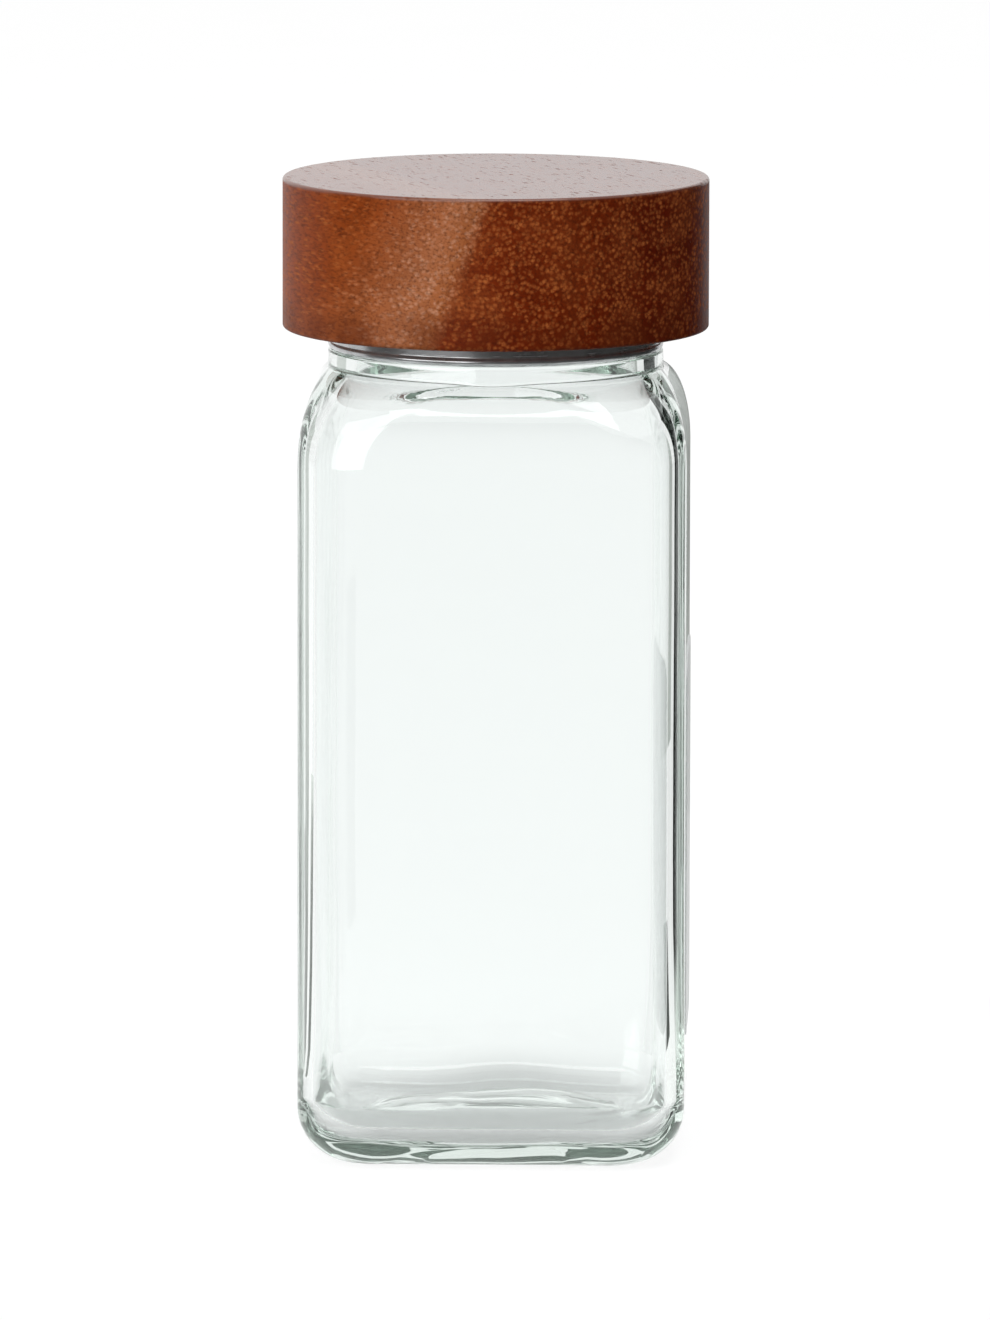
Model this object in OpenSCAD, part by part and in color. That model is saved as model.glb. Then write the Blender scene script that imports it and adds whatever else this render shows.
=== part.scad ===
// Square glass spice jar with a turned wooden screw lid.
// The jar stands on z = 0 with its axis on Z, and the label is on the +X side.

/* [Jar body] */
// Width of the square body across its flat sides
body_w = 45.4; // [44:0.2:60]
// Height of the body, from the base to the foot of the neck
body_h = 92.6; // [70:0.2:140]
// Radius of the four upright corners
corner_r = 9; // [8:0.5:11]
// Radius of the heel that runs round the base
heel_r = 6.5; // [5:0.25:7]
// Height of the shoulder between the flat sides and the neck
shoulder_h = 10.6; // [8:0.2:14]
// Thickness of the glass in the sides
glass_wall = 2.2; // [1.8:0.1:2.8]
// Thickness of the glass under the jar's floor
floor_t = 3.6; // [3:0.1:5]
// Width of the flat band on which the base stands, between the heel and the hollow
foot_w = 1.2; // [0.6:0.1:5]
// Depth of the hollow under the base
hollow_h = 1.6; // [0.6:0.1:2]
// Height of the crown in the middle of the jar's floor
crown_h = 0.9; // [0.4:0.1:1.6]

/* [Neck] */
// Height of the plain collar at the foot of the neck
collar_h = 1.5; // [1:0.1:3]
// Height of the neck above its collar
neck_h = 12.25; // [11.5:0.05:14]
// Thickness of the glass in the neck
neck_wall = 2.2; // [1.9:0.1:3]
// Rounding of the rim's two edges
rim_r = 0.7; // [0.3:0.05:0.9]

/* [Screw thread] */
// Outer diameter of the glass thread
thread_d = 36.7; // [34:0.1:38]
// Rise of the thread in one turn
thread_pitch = 4.23; // [4:0.01:4.4]
// Length of the glass thread in turns
thread_turns = 1.25; // [1:0.05:1.4]
// How far the glass thread stands out from the neck
thread_rise = 0.95; // [0.7:0.05:1.05]
// Width of the glass thread where it leaves the neck
thread_w = 2.3; // [1.6:0.1:2.5]
// Height of the thread's start above the collar
thread_start = 4.1; // [3.6:0.05:4.4]
// Length of the rolled thread in the shell, in turns
rolled_turns = 1.25; // [1:0.05:1.5]
// Width of the rolled thread inside the shell
rolled_w = 1.8; // [1.5:0.1:2]
// Width of the groove that the rolled thread leaves outside the shell
rolled_groove_w = 1.1; // [0.8:0.1:1.2]

/* [Lid] */
// Diameter of the turned wooden lid
lid_d = 50; // [46:0.5:60]
// Height of the wooden lid
lid_h = 17.75; // [14:0.25:30]
// Rounding of the lid's top edge
lid_top_r = 0.6; // [0.3:0.1:2]
// Rounding of the lid's lower edge
lid_low_r = 0.4; // [0.2:0.1:2]
// Thickness of the screw shell's metal
shell_t = 0.35; // [0.3:0.05:0.4]
// Radius of the bend round the top of the shell
shell_bend_r = 0.7; // [0.6:0.1:1.4]
// Thickness of the rolled edge under the shell
curl_d = 0.86; // [0.8:0.02:0.94]
// Length of the shell that shows below the wood
shell_show = 2.15; // [1.2:0.05:3]
// Thickness of the seal disc
seal_t = 1.2; // [0.8:0.1:2]

/* [Label] */
// Bare flat glass left on each side of the blank label
label_margin = 0.7; // [0:0.1:6]
// Height of the blank label
label_h = 44.5; // [20:0.5:50]
// Height of the label's lower edge above the base
label_z = 14.5; // [8:0.5:18]
// Rounding of the label's corners
label_r = 3; // [1:0.5:6]
// Thickness of the label
label_t = 0.15; // [0.1:0.05:0.3]

/* [Clearances] */
// Free space between the glass thread's crest and the shell
crest_clear = 0.7; // [0.5:0.05:0.9]
// Free space between the rolled thread's crest and the neck
root_clear = 0.4; // [0.3:0.05:0.5]
// Free height between the collar and the shell's rolled edge
lid_gap = 0.6; // [0.4:0.05:1]
// Free space between the seal disc and the bend round the top of the shell
seal_clear = 0.1; // [0.05:0.05:0.3]
// Room for glue round the shell in the wood
glue_clear = 0.1; // [0.05:0.05:0.2]

/* [Hidden] */
// Steps round one corner of the glass, along the heel and up the shoulder
CORNER_STEPS = 12;
HEEL_STEPS = 6;
SHOULDER_STEPS = 9;
// Steps of one turn of a thread and across its section
TURN_STEPS = 48;
RIB_STEPS = 6;
// Angle over which a thread runs out, and the share of its height left at its tip
RUN_OUT = 45;
TIP = 0.1;
// Smallest flat left on a side where a section is almost round
FLAT_MIN = 0.2;
// How far a cutter or a tucked edge reaches past the surface that it meets
REACH = 1;
// Radius of the heel inside the jar
INNER_HEEL_R = 4.2;
// How far the shoulder tucks in under the collar and, inside, past the bore
TUCK = 1.15;
BORE_TUCK = 0.5;
// Depth to which a thread is rooted in the neck and in the thin shell
GLASS_ROOT = 0.3;
SHELL_ROOT = 0.15;

body_half = body_w / 2;
hollow_d = 2 * (body_half - heel_r - foot_w);
neck_r = thread_d / 2 - thread_rise;
mouth_r = neck_r - neck_wall;
shell_in_r = thread_d / 2 + crest_clear;
shell_r = shell_in_r + shell_t;
rolled_rise = shell_in_r - neck_r - root_clear;
curl_mid_r = shell_r - shell_t / 2;
collar_r = curl_mid_r + curl_d / 2;
label_w = 2 * (body_half - corner_r - label_margin);
lid_r = lid_d / 2;
bore_r = shell_r + glue_clear;
seal_r = shell_r - shell_bend_r - seal_clear;
side_top_z = body_h - shoulder_h;
collar_top_z = body_h + collar_h;
rim_z = collar_top_z + neck_h;
seal_top_z = rim_z + seal_t;
shell_top_z = seal_top_z + shell_t;
shell_low_z = collar_top_z + lid_gap;
lid_low_z = shell_low_z + shell_show;
lid_top_z = lid_low_z + lid_h;
thread_z = collar_top_z + thread_start;

// Reach of a rounded square along its diagonal, and the corner radius that gives a reach
function diagonal(half, r) = half * sqrt(2) - r * (sqrt(2) - 1);
function corner_for(half, reach) = (half * sqrt(2) - reach) / (sqrt(2) - 1);

// One closed ring of points: a rounded square of half width half at height z
function ring(half, r, z) = [
    for (k = [0:3], j = [0:CORNER_STEPS])
        let (
            a = 90 * (k + j / CORNER_STEPS),
            mid = 90 * k + 45,
            c = (half - r) * sqrt(2)
        )
        [c * cos(mid) + r * cos(a), c * sin(mid) + r * sin(a), z]
];

// Rings up a heel of radius heel, from its foot at height z to the flat sides
function heel_rings(half, r, heel, z) = [
    for (i = [0:HEEL_STEPS])
        let (
            a = 90 * i / HEEL_STEPS,
            inset = heel * (1 - sin(a))
        )
        ring(half - inset, max(r - inset, FLAT_MIN), z + heel * (1 - cos(a)))
];

// Rings up a shoulder that turns a rounded square into a circle of radius top_r.
// Its side and its corner each follow a quarter of an ellipse.
function shoulder_rings(half, r, top_r, z, h) = [
    for (i = [1:SHOULDER_STEPS])
        let (
            a = 90 * i / SHOULDER_STEPS,
            side = top_r + (half - top_r) * cos(a),
            reach = top_r + (diagonal(half, r) - top_r) * cos(a)
        )
        ring(side, min(corner_for(side, reach), side - FLAT_MIN), z + h * sin(a))
];

// A solid skinned over a list of rings, with a flat cap at each end
module loft(rings) {
    n = len(rings[0]);
    m = len(rings);
    points = [for (r = rings, p = r) p];
    sides = [
        for (i = [0:m - 2], j = [0:n - 1])
            let (k = (j + 1) % n)
            [i * n + j, (i + 1) * n + j, (i + 1) * n + k, i * n + k]
    ];
    foot = [for (j = [0:n - 1]) j];
    head = [for (j = [n - 1:-1:0]) (m - 1) * n + j];
    polyhedron(points, concat(sides, [foot, head]), convexity = 6);
}

// How far a thread has risen out of its root, step by step from its two ends
function run_out(i, steps) = min(1, TIP + min(i, steps - i) * 360 / TURN_STEPS / RUN_OUT);

// A thread that climbs round Z. It stands out from radius r by rise, or in by -rise.
module helix_rib(r, rise, root, w, turns, z) {
    out = sign(rise);
    steps = round(turns * TURN_STEPS);
    tall = abs(rise) + root;
    n = RIB_STEPS + 1;
    points = [
        for (i = [0:steps], j = [0:RIB_STEPS])
            let (
                a = 360 * i / TURN_STEPS,
                b = 180 * j / RIB_STEPS,
                d = r + out * (tall * run_out(i, steps) * sin(b) - root)
            )
            [d * cos(a), d * sin(a), z + thread_pitch * i / TURN_STEPS - out * w / 2 * cos(b)]
    ];
    sides = [
        for (i = [0:steps - 1], j = [0:n - 1])
            let (k = (j + 1) % n)
            [i * n + j, i * n + k, (i + 1) * n + k, (i + 1) * n + j]
    ];
    start = [for (j = [n - 1:-1:0]) j];
    finish = [for (j = [0:n - 1]) steps * n + j];
    polyhedron(points, concat(sides, [start, finish]), convexity = 8);
}

// A shallow round dome, flat below, as wide as d and as high as h
module dome(d, h) {
    ball_r = (d * d / 4 + h * h) / (2 * h);
    rotate_extrude($fn = 128)
        intersection() {
            translate([0, h - ball_r]) circle(r = ball_r, $fn = 720);
            square([d, h]);
        }
}

// Half section of the solid neck: the collar, the neck and its rounded outer rim edge
module neck_section() {
    translate([0, body_h - 2 * REACH]) square([collar_r, collar_h + 2 * REACH]);
    translate([0, body_h]) square([neck_r - rim_r, collar_h + neck_h]);
    translate([0, body_h]) square([neck_r, collar_h + neck_h - rim_r]);
    translate([neck_r - rim_r, rim_z - rim_r]) circle(r = rim_r, $fn = 48);
}

// Half section of the bore, flared at the rounded inner edge of the rim
module bore_section() {
    translate([0, body_h - 2 * REACH]) square([mouth_r, collar_h + neck_h + 3 * REACH]);
    difference() {
        translate([0, rim_z - rim_r]) square([mouth_r + rim_r, rim_r + REACH]);
        translate([mouth_r + rim_r, rim_z - rim_r]) circle(r = rim_r, $fn = 48);
    }
}

module glass_outside() {
    foot = ring(body_half - heel_r, corner_r - heel_r, -REACH);
    heel = heel_rings(body_half, corner_r, heel_r, 0);
    shoulder = shoulder_rings(body_half, corner_r, collar_r - TUCK, side_top_z, shoulder_h);
    loft(concat([foot], heel, [ring(body_half, corner_r, side_top_z)], shoulder));
    rotate_extrude($fn = 128) neck_section();
    helix_rib(neck_r, thread_rise, GLASS_ROOT, thread_w, thread_turns, thread_z);
}

module glass_inside() {
    half = body_half - glass_wall;
    r = corner_r - glass_wall;
    h = shoulder_h - glass_wall / 2;
    heel = heel_rings(half, r, INNER_HEEL_R, floor_t);
    shoulder = shoulder_rings(half, r, mouth_r - BORE_TUCK, side_top_z, h);
    difference() {
        loft(concat(heel, [ring(half, r, side_top_z)], shoulder));
        translate([0, 0, floor_t]) dome(hollow_d, crown_h);
    }
    rotate_extrude($fn = 128) bore_section();
}

// Pressed glass jar: square body, round shoulder, threaded neck and hollowed base
module glass_jar() {
    color([0.8, 0.9, 0.87, 0.5])
        difference() {
            glass_outside();
            glass_inside();
            dome(hollow_d, hollow_h);
            translate([-body_w, -body_w, -2 * REACH]) cube([2 * body_w, 2 * body_w, 2 * REACH]);
        }
}

// Blank rounded label on the flat of the +X side
module side_label() {
    color("white")
        translate([body_half, 0, label_z])
            rotate([90, 0, 90])
                linear_extrude(label_t) {
                    translate([-label_w / 2 + label_r, 0])
                        square([label_w - 2 * label_r, label_h]);
                    translate([-label_w / 2, label_r])
                        square([label_w, label_h - 2 * label_r]);
                    for (x = [-1, 1], z = [label_r, label_h - label_r])
                        translate([x * (label_w / 2 - label_r), z]) circle(r = label_r, $fn = 48);
                }
}

// Loose disc that seals the rim against the top of the shell
module seal_disc() {
    color([0.93, 0.93, 0.9])
        translate([0, 0, rim_z]) cylinder(r = seal_r, h = seal_t, $fn = 128);
}

// Half section of the shell: top, bend, skirt and rolled edge
module shell_section() {
    bend_z = shell_top_z - shell_bend_r;
    bend_x = shell_r - shell_bend_r;
    translate([0, seal_top_z]) square([bend_x, shell_t]);
    translate([shell_in_r, shell_low_z + curl_d / 2])
        square([shell_t, bend_z - shell_low_z - curl_d / 2]);
    intersection() {
        translate([bend_x, bend_z])
            difference() {
                circle(r = shell_bend_r, $fn = 48);
                circle(r = shell_bend_r - shell_t, $fn = 48);
            }
        translate([bend_x, bend_z]) square(shell_bend_r);
    }
    translate([curl_mid_r, shell_low_z + curl_d / 2]) circle(r = curl_d / 2, $fn = 48);
}

// Metal screw shell, glued into the wood, with a thread rolled into its skirt
module screw_shell() {
    rolled_z = thread_z - thread_pitch / 2;
    color([0.75, 0.76, 0.78])
        difference() {
            union() {
                rotate_extrude($fn = 128) shell_section();
                helix_rib(shell_in_r, -rolled_rise, SHELL_ROOT, rolled_w, rolled_turns, rolled_z);
            }
            helix_rib(shell_r, -rolled_rise, SHELL_ROOT, rolled_groove_w, rolled_turns, rolled_z);
        }
}

// Half section of the wooden lid with its two rounded edges
module lid_section() {
    translate([0, lid_low_z]) square([lid_r - lid_low_r, lid_h - lid_top_r]);
    translate([0, lid_low_z + lid_low_r]) square([lid_r, lid_h - lid_low_r - lid_top_r]);
    translate([0, lid_low_z + lid_low_r]) square([lid_r - lid_top_r, lid_h - lid_low_r]);
    translate([lid_r - lid_low_r, lid_low_z + lid_low_r]) circle(r = lid_low_r, $fn = 48);
    translate([lid_r - lid_top_r, lid_top_z - lid_top_r]) circle(r = lid_top_r, $fn = 48);
}

// Turned wooden lid with a blind bore for the shell
module wood_lid() {
    color([0.48, 0.22, 0.1])
        difference() {
            rotate_extrude($fn = 128) lid_section();
            translate([0, 0, lid_low_z - REACH])
                cylinder(r = bore_r, h = shell_top_z - lid_low_z + REACH, $fn = 128);
        }
}

glass_jar();
side_label();
seal_disc();
screw_shell();
wood_lid();
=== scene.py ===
"""Spice jar: a square clear glass with a threaded neck, under a turned wooden screw lid.

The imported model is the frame, and each piece is a finer skin over its CAD node. The classes
hold their sizes in millimetres, and the meshes, finishes and studio are in metres.
"""

import logging
import math
from dataclasses import dataclass
from enum import Enum
from typing import Iterable

import bpy
import numpy as np
from mathutils import Matrix, Vector, noise


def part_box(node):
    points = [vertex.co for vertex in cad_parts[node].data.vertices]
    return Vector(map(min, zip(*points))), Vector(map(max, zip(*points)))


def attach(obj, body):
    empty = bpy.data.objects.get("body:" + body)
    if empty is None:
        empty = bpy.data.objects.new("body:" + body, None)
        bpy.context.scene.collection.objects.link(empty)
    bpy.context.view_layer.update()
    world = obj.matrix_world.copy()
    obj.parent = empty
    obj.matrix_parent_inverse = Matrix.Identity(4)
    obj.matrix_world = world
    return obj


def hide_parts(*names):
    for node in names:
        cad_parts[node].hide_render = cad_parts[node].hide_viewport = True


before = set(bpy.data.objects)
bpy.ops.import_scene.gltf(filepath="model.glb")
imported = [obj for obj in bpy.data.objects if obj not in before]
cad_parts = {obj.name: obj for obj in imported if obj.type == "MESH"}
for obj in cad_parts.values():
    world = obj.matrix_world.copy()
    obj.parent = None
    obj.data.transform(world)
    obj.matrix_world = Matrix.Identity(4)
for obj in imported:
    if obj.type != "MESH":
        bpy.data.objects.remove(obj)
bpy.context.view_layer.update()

logging.basicConfig(level=logging.INFO, format="%(message)s")
log = logging.getLogger("spice_jar")

MM = 0.001
WHITE = (1.0, 1.0, 1.0, 1.0)
Point = tuple[float, float]
Socket = bpy.types.NodeSocket


# Node trees


class Graph:
    """Adds nodes to one shader or geometry node tree and links them."""

    def __init__(self, tree: bpy.types.NodeTree) -> None:
        """Keeps the tree that the nodes go into."""
        self.tree = tree

    def feed(self, node: bpy.types.Node, inputs: dict) -> None:
        """Links each value to its input if it is an output, and else sets it there.

        Args:
            node: the node that takes the values.
            inputs: values or outputs by the input's name or number.
        """
        for key, value in inputs.items():
            if isinstance(value, Socket):
                self.tree.links.new(value, node.inputs[key])
            else:
                node.inputs[key].default_value = value

    def add(self, kind: str, inputs: dict | None = None, **settings: object) -> bpy.types.Node:
        """Adds one node.

        Args:
            kind: the node's type name.
            inputs: values or outputs by the input's name or number.
            settings: the node's own properties.

        Returns:
            The new node.
        """
        node = self.tree.nodes.new(kind)
        for name, value in settings.items():
            setattr(node, name, value)
        self.feed(node, inputs or {})
        return node

    def math(self, operation: str, *values: object, clamp: bool = False) -> Socket:
        """Returns the output of one Math node over the values."""
        inputs = dict(enumerate(values))
        return self.add("ShaderNodeMath", inputs, operation=operation, use_clamp=clamp).outputs[0]

    def plus(self, a: object, b: object) -> Socket:
        """Returns a plus b."""
        return self.math("ADD", a, b)

    def minus(self, a: object, b: object) -> Socket:
        """Returns a less b."""
        return self.math("SUBTRACT", a, b)

    def times(self, a: object, b: object) -> Socket:
        """Returns a times b."""
        return self.math("MULTIPLY", a, b)

    def over(self, a: object, b: object) -> Socket:
        """Returns a divided by b."""
        return self.math("DIVIDE", a, b)

    def reach(self, x: Socket, y: Socket) -> Socket:
        """Returns the distance from the Z axis."""
        return self.math("SQRT", self.plus(self.times(x, x), self.times(y, y)))

    def vector(self, operation: str, *values: object) -> Socket:
        """Returns the vector output of one Vector Math node over the values."""
        inputs = dict(enumerate(values))
        return self.add("ShaderNodeVectorMath", inputs, operation=operation).outputs[0]

    def split(self, vector: Socket) -> list[Socket]:
        """Returns the X, Y and Z outputs of a vector."""
        return self.add("ShaderNodeSeparateXYZ", {0: vector}).outputs[:3]

    def join(self, x: object, y: object, z: object) -> Socket:
        """Returns a vector made of three values."""
        return self.add("ShaderNodeCombineXYZ", {0: x, 1: y, 2: z}).outputs[0]

    def remap(
        self, value: object, low: float, high: float,
        to_low: float = 0.0, to_high: float = 1.0, smooth: bool = False,
    ) -> Socket:
        """Carries a value from one range to another and holds it at the ends.

        Args:
            value: the value, or the output that gives it.
            low: the start of its range.
            high: the end of its range, which may be below the start.
            to_low: what the start becomes.
            to_high: what the end becomes.
            smooth: whether the value eases in and out.

        Returns:
            The carried value.
        """
        inputs = dict(enumerate((value, low, high, to_low, to_high)))
        curve = "SMOOTHSTEP" if smooth else "LINEAR"
        return self.add("ShaderNodeMapRange", inputs, interpolation_type=curve).outputs[0]

    def ramp(self, factor: object, stops: Iterable[tuple[float, tuple]]) -> Socket:
        """Reads a colour from a band of stops.

        Args:
            factor: the place on the band, from 0 to 1.
            stops: (place, linear colour), in order.

        Returns:
            The colour.
        """
        node = self.add("ShaderNodeValToRGB", {0: factor})
        band = node.color_ramp.elements
        for i, (place, colour) in enumerate(stops):
            stop = band[i] if i < len(band) else band.new(place)
            stop.position, stop.color = place, (*colour[:3], 1.0)
        return node.outputs[0]

    def mix(self, factor: object, a: object, b: object) -> Socket:
        """Returns colour a mixed with colour b by factor."""
        # The colour sockets share their names with others, so they go by number.
        inputs = {0: factor, 6: a, 7: b}
        return self.add("ShaderNodeMix", inputs, data_type="RGBA").outputs[2]

    def noise(self, where: object, scale: float, detail: float = 2.0, rough: float = 0.5) -> Socket:
        """Returns smooth noise from 0 to 1 at a place."""
        inputs = {"Vector": where, "Scale": scale, "Detail": detail, "Roughness": rough}
        return self.add("ShaderNodeTexNoise", inputs).outputs[0]

    def bump(self, height: object, strength: float, distance: float) -> Socket:
        """Returns a normal bumped by height, with distance in metres for a height of 1."""
        inputs = {"Height": height, "Strength": strength, "Distance": distance}
        return self.add("ShaderNodeBump", inputs).outputs[0]


def linear(*srgb: int) -> tuple[float, float, float, float]:
    """Returns an 8-bit display colour as the linear colour that a socket takes."""
    parts = [c / 255 for c in srgb]
    return (*(c / 12.92 if c <= 0.04045 else ((c + 0.055) / 1.055) ** 2.4 for c in parts), 1.0)


def greys(*stops: Point) -> tuple:
    """Returns the stops of a band from (place, grey)."""
    return tuple((place, (grey,) * 3) for place, grey in stops)


def new_material(name: str, **plain: object) -> tuple[bpy.types.Material, Graph, bpy.types.Node]:
    """Makes a material with one Principled shader.

    Args:
        name: the material's name.
        plain: values for the shader's sockets, with _ for each space in a socket's name.

    Returns:
        The material, a graph on its tree, and the shader.
    """
    material = bpy.data.materials.new(name)
    material.use_nodes = True
    graph = Graph(material.node_tree)
    shader = material.node_tree.nodes["Principled BSDF"]
    graph.feed(shader, {key.replace("_", " "): value for key, value in plain.items()})
    return material, graph, shader


def bare_graph(owner: bpy.types.Material | bpy.types.World) -> Graph:
    """Clears the node tree of a material or a world.

    Args:
        owner: what the tree belongs to.

    Returns:
        A graph on the empty tree.
    """
    owner.use_nodes = True
    owner.node_tree.nodes.clear()
    return Graph(owner.node_tree)


def object_place(graph: Graph) -> Socket:
    """Returns the Object coordinate."""
    return graph.add("ShaderNodeTexCoord").outputs["Object"]


# Finishes


@dataclass(frozen=True)
class ClearGlass:
    """Soda-lime glass, clear on its faces and grey-green where it is seen edge on."""

    ior: float = 1.5
    face: tuple = (0.958, 0.976, 0.971, 1.0)
    tint: tuple = (0.45, 0.625, 0.52, 1.0)
    density: float = 11.0
    ripple_scale: float = 160.0
    ripple_depth: float = 0.00008

    def material(self) -> bpy.types.Material:
        """Makes the glass, with a faint unevenness of the moulded surface.

        Returns:
            The material.
        """
        made, graph, shader = new_material(
            "clear_glass", Base_Color=self.face, Roughness=0.0, IOR=self.ior,
            Transmission_Weight=1.0,
        )
        ripple = graph.noise(object_place(graph), self.ripple_scale, 1.0)
        graph.feed(shader, {"Normal": graph.bump(ripple, 0.15, self.ripple_depth)})
        inputs = {"Color": self.tint, "Density": self.density}
        absorption = graph.add("ShaderNodeVolumeAbsorption", inputs).outputs[0]
        graph.feed(made.node_tree.nodes["Material Output"], {"Volume": absorption})
        return made


@dataclass(frozen=True)
class LabelFilm:
    """Blank pale film with a faint fibre and a satin face."""

    pale: tuple = linear(240, 243, 243)
    shade: tuple = linear(230, 233, 233)
    satin: Point = (0.34, 0.48)
    fibre_scale: float = 2600.0
    fibre_stretch: tuple = (1.0, 1.0, 0.25)
    fibre_depth: float = 0.00002

    def material(self) -> bpy.types.Material:
        """Makes the film.

        Returns:
            The material.
        """
        made, graph, shader = new_material("label_film", Coat_Weight=0.25, Coat_Roughness=0.2)
        place = graph.vector("MULTIPLY", object_place(graph), self.fibre_stretch)
        fibre = graph.noise(place, self.fibre_scale, 3.0)
        graph.feed(shader, {
            "Base Color": graph.mix(fibre, self.shade, self.pale),
            "Roughness": graph.remap(fibre, 0.3, 0.7, *self.satin),
            "Normal": graph.bump(fibre, 0.3, self.fibre_depth),
        })
        return made


@dataclass(frozen=True)
class SealFoam:
    """Pressed white foam with fine closed cells."""

    pale: tuple = linear(243, 243, 238)
    cell: tuple = linear(222, 222, 214)
    matt: Point = (0.7, 0.85)
    cell_scale: float = 4200.0
    cell_depth: float = 0.00004
    cloud_scale: float = 300.0

    def material(self) -> bpy.types.Material:
        """Makes the foam.

        Returns:
            The material.
        """
        made, graph, shader = new_material("seal_foam", Specular_IOR_Level=0.3)
        place = object_place(graph)
        inputs = {"Vector": place, "Scale": self.cell_scale}
        cells = graph.add("ShaderNodeTexVoronoi", inputs).outputs["Distance"]
        cloud = graph.noise(place, self.cloud_scale)
        graph.feed(shader, {
            "Base Color": graph.mix(graph.times(cells, cloud), self.pale, self.cell),
            "Roughness": graph.remap(cloud, 0.3, 0.7, *self.matt),
            "Normal": graph.bump(cells, 0.5, self.cell_depth),
        })
        return made


@dataclass(frozen=True)
class PlatedSheet:
    """Bright plated sheet with fine rings left by the spinning and rolling."""

    bright: tuple = linear(205, 206, 208)
    dull: tuple = linear(176, 177, 178)
    gloss: Point = (0.14, 0.3)
    ring_scale: float = 900.0
    ring_press: float = 9.0
    ring_depth: float = 0.00002
    stain_scale: float = 420.0

    def material(self) -> bpy.types.Material:
        """Makes the metal.

        Returns:
            The material.
        """
        made, graph, shader = new_material("shell_metal", Metallic=0.7)
        x, y, z = graph.split(object_place(graph))
        out, up = (graph.times(way, self.ring_press) for way in (graph.reach(x, y), z))
        rings = graph.noise(graph.join(out, 0.0, up), self.ring_scale, 4.0)
        stain = graph.noise(object_place(graph), self.stain_scale, 3.0)
        graph.feed(shader, {
            "Base Color": graph.mix(graph.remap(stain, 0.35, 0.7), self.bright, self.dull),
            "Roughness": graph.remap(graph.plus(rings, stain), 0.7, 1.3, *self.gloss),
            "Normal": graph.bump(rings, 0.15, self.ring_depth),
        })
        return made


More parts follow.
